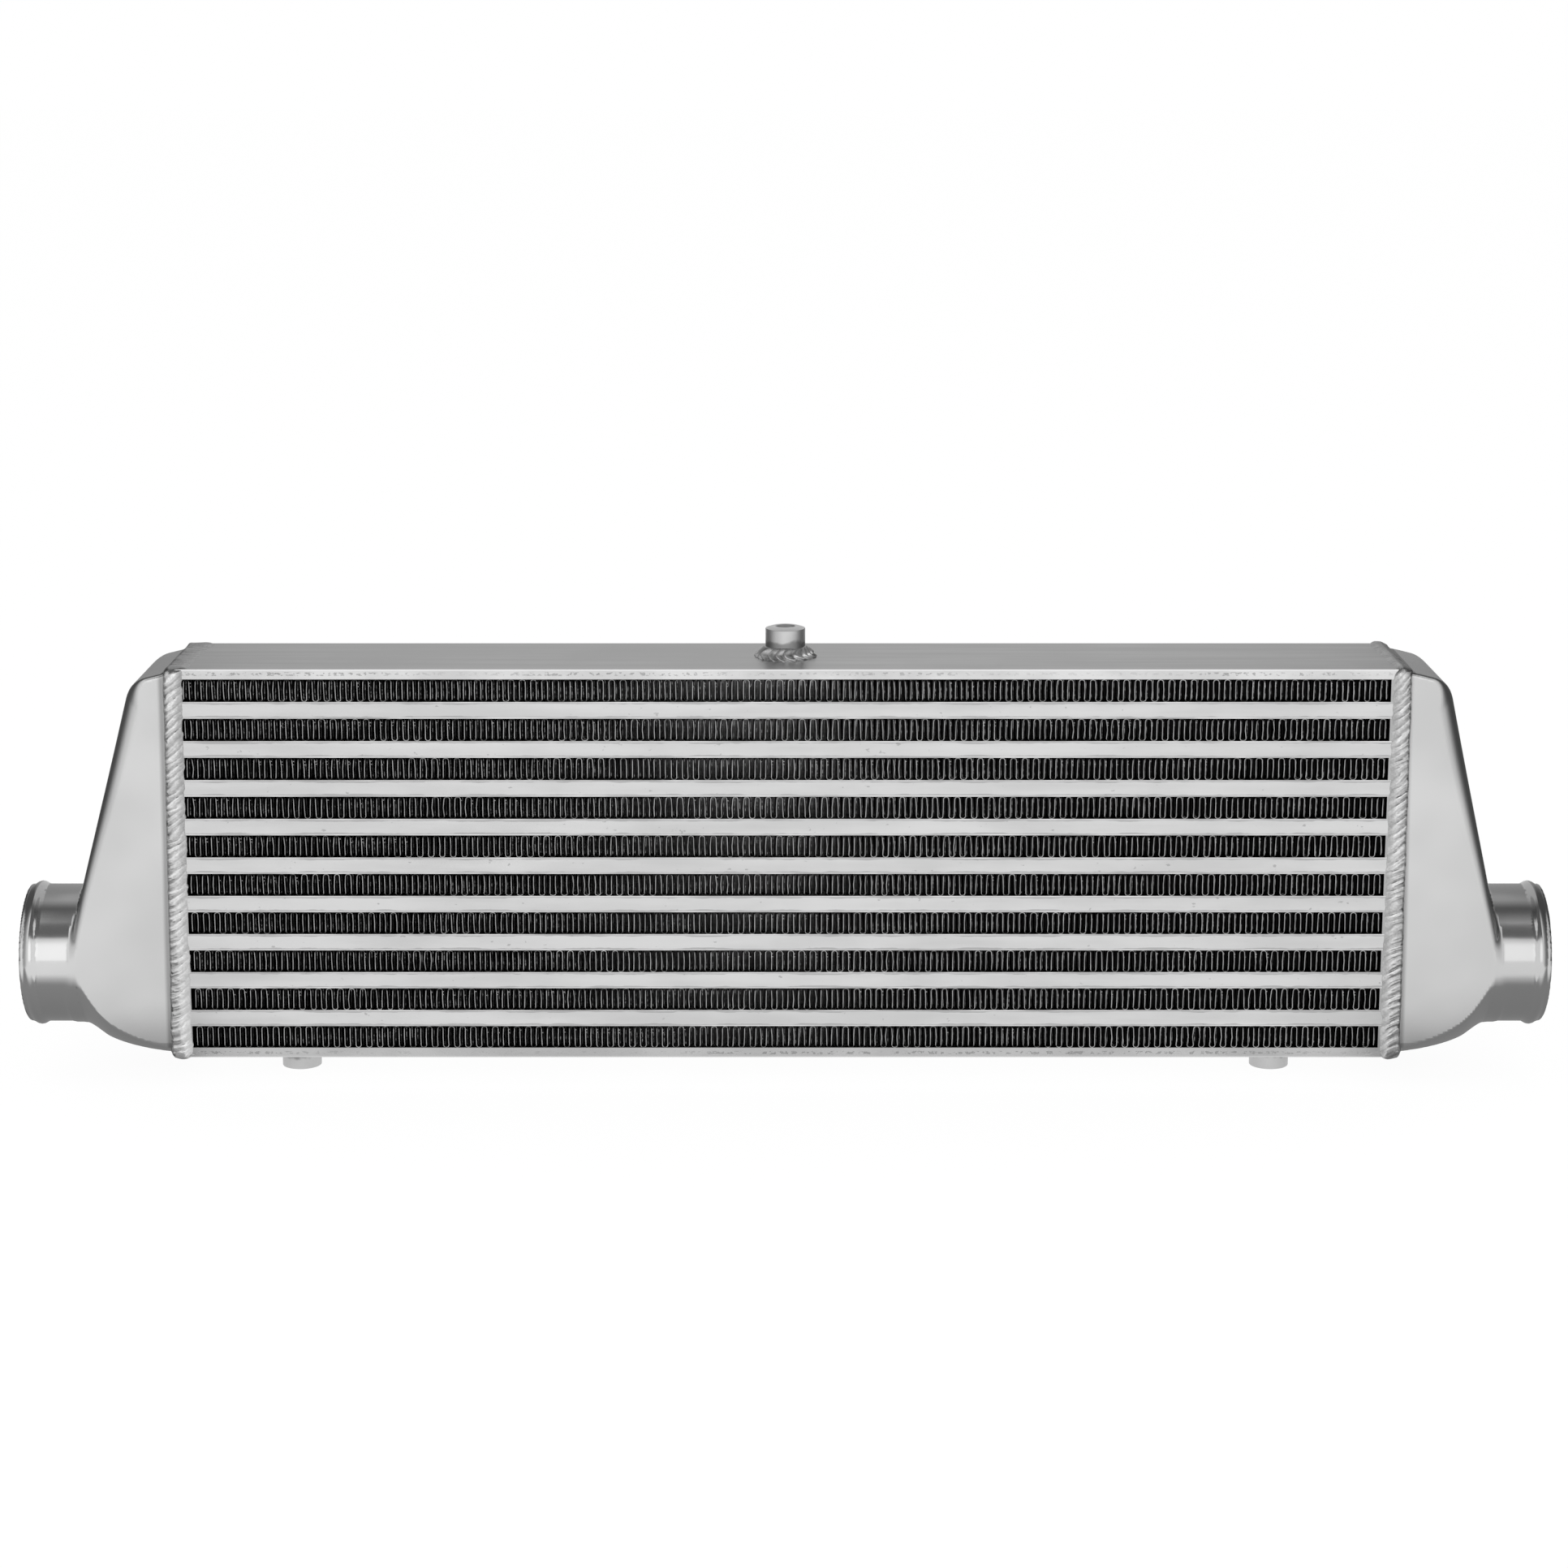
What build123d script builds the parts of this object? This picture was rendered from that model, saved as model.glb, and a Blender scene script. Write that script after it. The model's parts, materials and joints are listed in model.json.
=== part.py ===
from build123d import *
from math import hypot, radians, tan
import os

# Bar-and-plate front-mount intercooler with two cast end tanks, in millimetres.
# X runs from pipe end to pipe end, Y from the front face to the rear face, Z is up.
# The forms are drawn about the centre of the core. The origin of the written parts
# is on the ground plane, midway between the end faces of the two lower bungs.

# Core
core_length = 550.0
core_depth = 65.0
ambient_rows = 10
ambient_height = 10.25
charge_height = 6.5
long_bar_depth = 6.0
end_bar_width = 5.0
sheet_thickness = 0.55
plate_thickness = 4.5

# Corrugated fins: stock thickness, and spacing from one wall to the next
ambient_stock = 0.2
ambient_wall_spacing = 5.1
ambient_end_gap = 0.3
charge_stock = 0.25
charge_wall_spacing = 3.75
charge_side_gap = 0.3

# Cast end tank: distances out from the core's end, angles of its top and its slanted side
tank_wall = 3.0
mouth_inset = 1.0
mouth_side_inset = 0.75
tank_edge_radius = 6.0
core_chamfer = 2.0
shoulder_reach = 20.4
shoulder_radius = 15.0
top_fall = 14.0
side_lean = 13.6

# Spigot, cast in one piece with the tank
spigot_diameter = 63.5
spigot_height = 40.8
spigot_reach = 73.0
hood_reach = 52.6
hood_flare = 0.4
bead_rise = 1.4
bead_width = 6.0
bead_root = 1.0
bead_setback = 4.8

# Weld around each tank's mouth
weld_lap = 5.0
weld_crown = 1.8
weld_toe = 4.5
weld_root = 3.0

# Mounting bungs: solid bosses, each with a blind tapped hole
bung_radius = 9.0
bung_length = 14.0
bung_bevel = 0.5
thread_radius = 3.4
thread_depth = 12.0
thread_countersink = 0.9
lower_bung_inset = 50.0
bung_weld_radius = 12.3
bung_weld_height = 3.2

# Drawing aids: how far a cut runs past a face, and how close two places count as the same
cut_clear = 1.0
match = 1e-4

# Places that follow from the sizes above
charge_rows = ambient_rows - 1
layer_pitch = ambient_height + charge_height + 2 * sheet_thickness
fin_pack_height = ambient_rows * ambient_height + charge_rows * (layer_pitch - ambient_height)
core_height = fin_pack_height + 2 * plate_thickness
core_end = core_length / 2
core_top = core_height / 2
tank_depth = core_depth - 2 * mouth_side_inset
spigot_radius = spigot_diameter / 2
spigot_z = spigot_height - core_top
lower_bung_spacing = core_length - 2 * lower_bung_inset
ground_drop = core_top + bung_length


def save(name, *solids):
    """Write one named part, lifted so that the lower bungs end at Z = 0."""
    placed = [Pos(0, 0, ground_drop) * solid for solid in solids]
    shape = placed[0] if len(placed) == 1 else Compound(children=placed)
    export_step(shape, f"parts/{name}.step")


def ambient_z(row):
    """Middle height of an ambient fin row, counted from 0 at the top."""
    return core_top - plate_thickness - ambient_height / 2 - row * layer_pitch


def charge_z(row):
    """Middle height of a charge-air layer, counted from 0 at the top."""
    return ambient_z(row) - layer_pitch / 2


def corrugation(width, height, stock, spacing):
    """Section of a folded fin: a zigzag strip that fills width by height."""
    walls = 2 * round(width / spacing / 2)
    step = width / walls
    half_upright = stock / 2 * hypot(step, height) / step
    crest = height / 2 - half_upright
    middle = [(i * step - width / 2, crest if i % 2 else -crest) for i in range(walls + 1)]
    over = [(x, z + half_upright) for x, z in middle]
    under = [(x, z - half_upright) for x, z in reversed(middle)]
    return make_face(Polyline(*over, *under, close=True))


def ambient_fin(row):
    """Fin that the outside air crosses from front to rear."""
    width = core_length - 2 * end_bar_width - 2 * ambient_end_gap
    section = corrugation(width, ambient_height, ambient_stock, ambient_wall_spacing)
    strip = extrude(Plane.XZ * section, core_depth / 2, both=True)
    return Pos(0, 0, ambient_z(row)) * strip


def charge_fin(row):
    """Inner turbulator that the charge air follows from tank to tank."""
    width = core_depth - 2 * long_bar_depth - 2 * charge_side_gap
    section = corrugation(width, charge_height, charge_stock, charge_wall_spacing)
    strip = extrude(Plane.YZ * section, core_length / 2, both=True)
    return Pos(0, 0, charge_z(row)) * strip


def long_bar(row, side):
    """Bar that closes a charge-air layer along the front (side -1) or the rear (side 1)."""
    y = side * (core_depth - long_bar_depth) / 2
    return Pos(0, y, charge_z(row)) * Box(core_length, long_bar_depth, charge_height)


def parting_sheets(row):
    """The two sheets that part a charge-air layer from the fins above and below it."""
    offset = (charge_height + sheet_thickness) / 2
    sheet = Box(core_length, core_depth, sheet_thickness)
    return [Pos(0, 0, charge_z(row) + side * offset) * sheet for side in (1, -1)]


def end_bars(side):
    """Short bars that close every ambient row beside one end tank."""
    x = side * (core_length - end_bar_width) / 2
    bar = Box(end_bar_width, core_depth, ambient_height)
    return [Pos(x, 0, ambient_z(row)) * bar for row in range(ambient_rows)]


def side_plate(side):
    """Outer plate of the core, on top (side 1) or below (side -1)."""
    z = side * (core_top - plate_thickness / 2)
    return Pos(0, 0, z) * Box(core_length, core_depth, plate_thickness)


def tank_wedge(inset):
    """Upper body of a tank, above the spigot's axis, with its slanted side and rounded shoulder."""
    fall = tan(radians(top_fall))
    lean = tan(radians(side_lean))
    top_drop = inset * hypot(1, fall)
    side_pull = inset * hypot(1, lean)
    mouth_top = core_top - mouth_inset - top_drop
    # The two lines move in by the inset, so the corner between them moves with both.
    corner_x = shoulder_reach + (lean * top_drop - side_pull) / (1 - lean * fall)
    corner_z = mouth_top - corner_x * fall
    foot_x = corner_x + (corner_z - spigot_z) * lean
    outline = FilletPolyline(
        (0, mouth_top),
        (corner_x, corner_z),
        (foot_x, spigot_z),
        radius=shoulder_radius - inset,
    )
    closing = Polyline((foot_x, spigot_z), (0, spigot_z), (0, mouth_top))
    half_depth = tank_depth / 2 - inset
    body = extrude(Plane.XZ * make_face(outline + closing), half_depth, both=True)
    return body, outer_rims(body, half_depth, spigot_z + match, core_top)


def tank_hood(inset):
    """Lower body of a tank: a box with a rising floor, coned down to meet the round spigot."""
    floor_rise = spigot_z - spigot_radius + core_top - mouth_inset
    lift = inset * hypot(1, floor_rise / hood_reach)
    mouth_floor = mouth_inset - core_top + lift
    side = Polyline(
        (0, spigot_z),
        (hood_reach, spigot_z),
        (hood_reach, mouth_floor + floor_rise),
        (0, mouth_floor),
        close=True,
    )
    half_depth = tank_depth / 2 - inset
    body = extrude(Plane.XZ * make_face(side), half_depth, both=True)
    return body, outer_rims(body, half_depth, -core_top, spigot_z - spigot_radius)


def outer_rims(body, half_depth, low, high):
    """Front and rear edges of a body, away from its mouth, whose middles lie between two heights."""
    return [
        edge
        for edge in body.edges()
        if abs(abs(edge.center().Y) - half_depth) < match
        and edge.center().X > match
        and low < edge.center().Z < high
    ]


def hood_cone(inset):
    """Cone on the spigot's axis that rounds off the hood's lower corners."""
    small = spigot_radius - inset
    cone = Cone(small + hood_reach * hood_flare, small, hood_reach)
    return Pos(hood_reach / 2, 0, spigot_z) * Rot(0, 90, 0) * cone


def spigot(inset, reach):
    """Round pipe, from inside the hood out to its reach."""
    root = hood_reach - spigot_radius / 2 + inset
    pipe = Cylinder(spigot_radius - inset, reach - root)
    return Pos((root + reach) / 2, 0, spigot_z) * Rot(0, 90, 0) * pipe


def spigot_bead():
    """Raised ring that keeps a clamped hose on the spigot."""
    half = bead_width / 2
    section = make_face(
        Polyline(
            (-half, -bead_root),
            (-half, 0),
            (-half / 2, bead_rise),
            (half / 2, bead_rise),
            (half, 0),
            (half, -bead_root),
            close=True,
        )
    )
    ring = revolve(Plane.XZ * Pos(0, spigot_radius) * section, Axis.X)
    return Pos(spigot_reach - bead_setback, 0, spigot_z) * ring


def tank_envelope():
    """Outside of a tank, filled, with its mouth at X = 0."""
    wedge, wedge_rims = tank_wedge(0)
    hood, hood_rims = tank_hood(0)
    wedge = fillet(wedge_rims, tank_edge_radius)
    hood = fillet(hood_rims, tank_edge_radius) & hood_cone(0)
    return wedge + hood + spigot(0, spigot_reach) + spigot_bead()


def tank_cavity():
    """Air space inside a tank, with its bore run out through the spigot's end."""
    wedge, wedge_rims = tank_wedge(tank_wall)
    hood, hood_rims = tank_hood(tank_wall)
    wedge = chamfer(wedge_rims, core_chamfer)
    hood = chamfer(hood_rims, core_chamfer) & hood_cone(tank_wall)
    return wedge + hood + spigot(tank_wall, spigot_reach + cut_clear)


def weld_section(half):
    """Outline of a weld bead on both sides of a joint that is twice half across."""
    far = ThreePointArc((-weld_lap, half), (0, half + weld_crown), (weld_toe, half - weld_root))
    near = ThreePointArc((weld_toe, weld_root - half), (0, -half - weld_crown), (-weld_lap, -half))
    toe = Line((weld_toe, half - weld_root), (weld_toe, weld_root - half))
    lap = Line((-weld_lap, -half), (-weld_lap, half))
    return make_face(far + toe + near + lap)


def tank_weld(envelope):
    """Bead around a tank's mouth, lapped over the core's end and the tank's rim."""
    over = extrude(Plane.XZ * weld_section(core_height / 2), core_depth, both=True)
    across = extrude(Plane.XY * weld_section(core_depth / 2), core_height, both=True)
    core = Pos(-core_end, 0, 0) * Box(core_length, core_depth, core_height)
    return (over & across) - core - envelope


def bung():
    """Boss that stands on Z = 0, with a blind tapped hole in its top."""
    boss = Pos(0, 0, bung_length / 2) * Cylinder(bung_radius, bung_length)
    boss = chamfer(boss.edges().sort_by(Axis.Z)[-1], bung_bevel)
    hole = Pos(0, 0, bung_length - thread_depth / 2) * Cylinder(thread_radius, thread_depth)
    sink = Pos(0, 0, bung_length - thread_countersink / 2) * Cone(
        thread_radius, thread_radius + thread_countersink, thread_countersink
    )
    return boss - hole - sink


def bung_weld():
    """Fillet of weld around a bung's foot, on Z = 0."""
    skirt = Cone(bung_weld_radius, bung_radius, bung_weld_height)
    return Pos(0, 0, bung_weld_height / 2) * (skirt - Cylinder(bung_radius, bung_weld_height))


def on_top(shape, x):
    """Place a shape that stands on Z = 0 on the core's top plate."""
    return Pos(x, 0, core_top) * shape


def below(shape, x):
    """Hang a shape that stands on Z = 0 from the core's bottom plate."""
    return Pos(x, 0, -core_top) * Rot(180, 0, 0) * shape


def write_core():
    for row in range(ambient_rows):
        save(f"ambient_fin_{row + 1:02d}", ambient_fin(row))
    for row in range(charge_rows):
        save(f"charge_fin_{row + 1:02d}", charge_fin(row))
        save(f"front_bar_{row + 1:02d}", long_bar(row, -1))
        save(f"rear_bar_{row + 1:02d}", long_bar(row, 1))
        save(f"parting_sheets_{row + 1:02d}", *parting_sheets(row))
    save("end_bars_left", *end_bars(-1))
    save("end_bars_right", *end_bars(1))
    save("top_plate", side_plate(1))
    save("bottom_plate", side_plate(-1))


def write_tanks():
    envelope = tank_envelope()
    tank = Pos(core_end, 0, 0) * (envelope - tank_cavity())
    weld = Pos(core_end, 0, 0) * tank_weld(envelope)
    save("right_end_tank", tank)
    save("left_end_tank", mirror(tank, about=Plane.YZ))
    save("right_tank_weld", weld)
    save("left_tank_weld", mirror(weld, about=Plane.YZ))


def write_bungs():
    lower_x = lower_bung_spacing / 2
    for name, piece in (("mounting_bungs", bung()), ("bung_welds", bung_weld())):
        save(name, on_top(piece, 0), below(piece, -lower_x), below(piece, lower_x))


os.makedirs("parts", exist_ok=True)
write_core()
write_tanks()
write_bungs()
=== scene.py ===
import json
from functools import reduce
from math import cos, pi, radians, sin, tan

import bpy
import numpy as np
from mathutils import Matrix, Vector


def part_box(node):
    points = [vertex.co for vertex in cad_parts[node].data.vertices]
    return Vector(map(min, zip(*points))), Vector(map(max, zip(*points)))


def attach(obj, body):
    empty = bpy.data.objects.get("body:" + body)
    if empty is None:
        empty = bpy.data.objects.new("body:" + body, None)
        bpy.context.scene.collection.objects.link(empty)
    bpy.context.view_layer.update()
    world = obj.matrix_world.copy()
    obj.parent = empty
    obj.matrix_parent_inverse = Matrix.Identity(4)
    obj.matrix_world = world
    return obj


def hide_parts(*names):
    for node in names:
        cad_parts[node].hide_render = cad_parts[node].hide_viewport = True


# Looks of a bar-and-plate intercooler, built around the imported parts.
# Shapes are worked out in millimetres in the parts' own frame: X from pipe end to
# pipe end, Y from front to rear, Z up from the plane of the lower bungs' ends.

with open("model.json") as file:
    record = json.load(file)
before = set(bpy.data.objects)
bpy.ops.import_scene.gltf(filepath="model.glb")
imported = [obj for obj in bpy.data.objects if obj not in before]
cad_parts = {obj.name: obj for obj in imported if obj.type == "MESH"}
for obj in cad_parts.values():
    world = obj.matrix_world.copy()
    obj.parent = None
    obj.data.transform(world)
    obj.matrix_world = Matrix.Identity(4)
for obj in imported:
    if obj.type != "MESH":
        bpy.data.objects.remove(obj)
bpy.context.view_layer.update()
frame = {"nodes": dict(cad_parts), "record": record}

MM = 0.001
SEED = 7
SIDES = {"left": -1, "right": 1}

# Places read from the frame
plate_low, plate_high = (np.array(corner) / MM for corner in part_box("top_plate"))
core_end, core_half_depth, core_top = plate_high
core_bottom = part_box("bottom_plate")[0][2] / MM
core_middle = (core_top + core_bottom) / 2
core_half_height = (core_top - core_bottom) / 2
plate_thickness = core_top - plate_low[2]
mounts = {mount["name"]: mount for mount in frame["record"]["mounts"]}
spigot_z = mounts["right_spigot"]["pos_m"][2] / MM
pipe_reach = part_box("right_end_tank")[1][0] / MM - core_end
first_bar = [corner[2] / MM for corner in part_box("front_bar_01")]
next_bar = [corner[2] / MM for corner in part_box("front_bar_02")]
bar_z = sum(first_bar) / 2
bar_height = first_bar[1] - first_bar[0]
layer_pitch = bar_z - sum(next_bar) / 2

# Ambient fins, and how far each strip's folds are shifted, from the front face to the rear one
FIN_ROWS = 10
FIN_WALLS = 216
FIN_STOCK = 0.32
FIN_STRIP = 2.2
FIN_SHIFTS = (0.0, 0.75, -0.5, 0.75, 0.0)
FIN_END_GAP = 0.4
FIN_CREST = 1.0
CREST_SHOULDER = 0.14
CREST_SOFTNESS = 0.3

# Unevenness of the fin walls: how much they bow, lean and stray
BOW_LEAST = 0.05
BOW_SWELL = 0.4
BOW_DRIFT = 0.15
LEAN_LEAST = 0.03
LEAN_SWELL = 0.11
LEAN_JITTER = 0.05
STRAY_SWELL = 0.22
STRAY_JITTER = 0.08

# Lanced tabs behind the fins' edges, at these drops below a row's top
TAB_DROPS = (1.9, 3.3)
TAB_DROP_JITTER = 0.2
TAB_DEPTH = 0.7
TAB_THICKNESS = 0.5
TAB_HALF_HEIGHT = 0.18
TAB_REACH = (0.45, 0.7)
TAB_CLUSTER = 16.0
TAB_CUTOFF = 0.35
TAB_FOLLOW = 0.7

# Cast end tank: x out from the core's end, z up from the spigot's axis
TANK_WALL = 3.0
TANK_HALF_DEPTH = 31.75
MOUTH_INSET = 1.0
MOUTH_TOP = core_top - MOUTH_INSET - spigot_z
MOUTH_FLOOR = core_bottom + MOUTH_INSET - spigot_z
TOP_FALL = radians(14.0)
SIDE_LEAN = radians(13.6)
SHOULDER_REACH = 20.4
SHOULDER_RADIUS = 15.0
FOOT_REACH = 52.6
FLOOR_EDGE_RADIUS = 3.0
FLOOR_POWER = 1.6
HOOD_EDGE_RADIUS = 0.5
PIPE_RADIUS = 31.75
PIPE_OVERLAP = 5.0
CREASE_RADIUS = 1.7
LIP_RADIUS = 0.9
BEAD_SETBACK = 4.8
BEAD_RISE = 1.4
BEAD_WIDTH = 6.5
BEAD_POWER = 1.5
TANK_CELL = 1.1
TANK_MARGIN = 1.4
NET_PASSES = 6

# Radius of the casting's front and rear edges: along its top, and along its side, where it
# grows with the height. The two run into each other around the shoulder.
EDGE_RADIUS_TOP = 1.8
EDGE_RADIUS_LOW = 5.0
EDGE_RADIUS = 9.0
EDGE_GROWTH_START = 20
EDGE_GROWTH_RUN = 90
EDGE_BLEND = 14

# Flare of the hood's lower cone: run in from the foot, extra radius, slope
FLARE = ((3.0, 0.0, 0.0), (18.3, 8.3, 0.52), (FOOT_REACH, 17.6, 0.14))

# How far the tanks lean to the right for each millimetre above the pipe, reached this far out
SKEW = 0.02
SKEW_START = 88.0
SKEW_RUN = 6.0

# Weld bead around a tank's mouth, left (-1) and right (1). How far it laps the core and the
# tank at the bottom and top of the sides, and at the front and rear of its top stretch.
SIDE_LAP = {-1: (4.7, 6.2), 1: (4.4, 4.4)}
SIDE_TOE = {-1: (5.6, 2.7), 1: (5.7, 4.7)}
TOP_LAP = {-1: (8.6, 11.8), 1: (3.0, 5.6)}
TOP_TOE = {-1: (2.8, 2.2), 1: (5.4, 4.4)}
WELD_CORNER = 3.0
WELD_STEP = 0.3
WELD_POINTS = 30
WELD_BURIED = 1.2

# Height of the bead, and of the lump at its corners
WELD_CROWN = 1.3
WELD_CROWN_TOP = {-1: 0.35, 1: 0.9}
WELD_HIGHEST = 1.78
WELD_CORNER_LUMP = 0.5
WELD_CORNER_SPREAD = 40.0

# Its ripples: pitch, height, finer ripples between them, and how they slant and curl
WELD_PITCH = 3.9
WELD_RIPPLE = 0.55
WELD_RIPPLE_SIZES = (0.5, 1.15)
WELD_RIPPLE_LEVEL = 0.35
WELD_FINE = 0.4
WELD_FINE_COUNT = 2.6
WELD_FINE_SIZES = (0.2, 1.2)
WELD_SLANT = 2.9
WELD_SLANT_RISE = 1.2
WELD_SLANT_DRIFT = 0.7
WELD_CURL = {-1: 1.4, 1: -1.4}
WELD_CURL_LEVEL = 1.2
RIPPLE_FRONT = 0.3
RIPPLE_FALL = 1.2
RIPPLE_GAPS = (0.6, 1.4)

# Bungs
BUNG_RADIUS = 9.0
BUNG_LENGTH = 14.0
BUNG_EDGE = 0.35
BUNG_DOME = 0.85
BUNG_TURNS = 72
THREAD_MINOR = 3.4
THREAD_MAJOR = 4.0
THREAD_PITCH = 1.25
THREAD_DEPTH = 12.0
THREAD_LEAD_IN = 0.9
THREAD_STEPS = 8
MOUTH_CLEARANCE = 0.35
MOUTH_LAND = 0.9

# Fillet welds around the bungs' feet
BUNG_WELD_RADIUS = 14.1
BUNG_WELD_HEIGHT = 5.0
BUNG_WELD_PETALS = 18
BUNG_WELD_SIZES = (0.6, 1.15)
BUNG_WELD_SWELL = (0.6, 0.9)
BUNG_WELD_TURNS = 288
BUNG_WELD_RINGS = 20

# Brightness of the metals, from 0 to 1. A pair is the least and the most of a mottled surface.
# Painted shade: the fin walls are near black for the shade between them, with pale specks near the
# face
FOIL_WALL_SHADE = (0.034, 0.026, 0.027, 1.0)
FOIL_SPECK = 0.26
# Painted shade on the fins' cut edges behind the front strip
FOIL_SHADE = 0.012
FOIL_EDGE = (0.27, 0.46)
INNER_FOIL = (0.35, 0.6)
SHEET_EDGE = (0.42, 0.74)
# Painted shade on the sheets' faces inside the passages
SHEET_INSIDE_SHADE = 0.014
BAR = (0.575, 0.675)
BAR_JOINT = 0.30
BAR_SPECK = 0.25
# Painted shade on the bars' faces that don't face front or rear
BAR_INSIDE_SHADE = 0.02
PLATE_FACE = (0.53, 0.62)
PLATE_RIM = (0.60, 0.71)
PLATE_PIT = 0.22
# Painted highlight along the plates' outer front edge
PLATE_EDGE_HIGHLIGHT = 0.86
# Painted shade on the lower plate's edge
PLATE_LOWER_SHADE = 0.14
# Painted shade on the plates' inner faces towards the fins
PLATE_INSIDE_SHADE = 0.014
CASTING = (0.575, 0.65)
# Painted shade on the casting where it faces down
CASTING_UNDER_SHADE = 0.53
# Painted shade in a band on the casting beside the weld
CASTING_WELD_SHADE = 0.16
# Painted shade in the crease on the tank's top
CASTING_CREASE_SHADE = 0.06
# Painted highlight and shade on the weld's ripples, with a random tone
WELD_SHADE_AND_TONE = (0.45, 1.2)
WELD_FLAT = 0.78
# Painted light on the lower part of the left weld
WELD_LOW_LEFT_LIGHT = 0.96
WELD_HOLE = 0.08
WELD_SOOT = 0.12
# Painted shadow along the weld's toe
WELD_TOE_SHADE = 0.10
BUNG = (0.58, 0.74)
BUNG_END = 0.88
# Painted shade on the bungs below
BUNG_LOWER_SHADE = 0.38
BUNG_SOOT = 0.16

# Polish of the casting's faces and pipe, and where out from the core one turns into the other
FACE_ROUGHNESS = 0.2
PIPE_ROUGHNESS = 0.125
POLISH_START = 42
POLISH_END = 53

# Painted shade in a band beside the weld and in the crease on the tank's top, both out from the
# core's end
WELD_SHADE_START = 5.4
WELD_SHADE_END = 7.6
WELD_SHADE_RISE = 2.0
CREASE_START = 4.3
CREASE_END = 5.1
CREASE_SKEW = 1.3

# Range that most of a noise texture lies in, and its roughness
NOISE_RANGE = (0.3, 0.7)
NOISE_ROUGHNESS = 0.55

# Camera, lamp, floor and world, in metres
CAMERA_PLACE = (0.0, -1.57348, 0.48703)
CAMERA_FALL = 12.632
CAMERA_LENS = 80.885
CAMERA_SHIFT = -0.00086
LAMP_PLACE = (0, -2.3, 0.98)
LAMP_TARGET = (0, 0, 0.98)
LAMP_WIDTH = 3.4
LAMP_HEIGHT = 1.9
LAMP_POWER = 32.0
FLOOR_REACH = 14.0
FLOOR_LEVEL = 0.9
FLOOR_GLOW = 1.06
FLOOR_GLOW_SHARE = 0.88
WORLD_LIGHT = 0.6


def smoothstep(t):
    t = np.clip(t, 0, 1)
    return t * t * (3 - 2 * t)


def smooth_noise(values, spacing, rng):
    """Soft random wave from -1 to 1 along an array of places, with knots a spacing apart."""
    values = np.asarray(values, float)
    start = values.min()
    count = int((values.max() - start) / spacing) + 3
    knots = rng.uniform(-1, 1, count)
    place = (values - start) / spacing
    index = np.floor(place).astype(int)
    t = smoothstep(place - index)
    return knots[index] * (1 - t) + knots[index + 1] * t


def grid_quads(rows, columns, close_rows=False, close_columns=False):
    """Quads between the points of a grid that is stored row by row."""
    row = np.arange(rows if close_rows else rows - 1)
    column = np.arange(columns if close_columns else columns - 1)
    r, c = (part.ravel() for part in np.meshgrid(row, column, indexing="ij"))
    r2, c2 = (r + 1) % rows, (c + 1) % columns
    return np.stack([r * columns + c, r * columns + c2, r2 * columns + c2, r2 * columns + c], 1)


def join_parts(parts):
    """Put several (points, quads) pairs together in one."""
    points, quads, count = [], [], 0
    for part_points, part_quads in parts:
        points.append(part_points)
        quads.append(part_quads + count)
        count += len(part_points)
    return np.concatenate(points), np.concatenate(quads)


def add_piece(name, points, quads, material, slot, replaced, normals=None, smooth=True, marks=None):
    """Make a mesh object of points in millimetres that stands for the named CAD nodes."""
    mesh = bpy.data.meshes.new(name)
    mesh.from_pydata((points * MM).tolist(), [], quads.tolist())
    mesh.polygons.foreach_set("use_smooth", np.full(len(quads), smooth))
    mesh.materials.append(material)
    if normals is not None:
        mesh.normals_split_custom_set_from_vertices(normals.tolist())
    for label, values in (marks or {}).items():
        mesh.attributes.new(label, "FLOAT", "POINT").data.foreach_set("value", values)
    mesh.update()
    piece = bpy.data.objects.new(name, mesh)
    bpy.context.scene.collection.objects.link(piece)
    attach(piece, "root")
    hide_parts(*replaced)


# Shader helpers

def grey(value, warmth=0.0):
    """Grey with a slight warm or cool cast."""
    return (value * (1 + warmth), value, value * (1 - warmth), 1.0)


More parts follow.
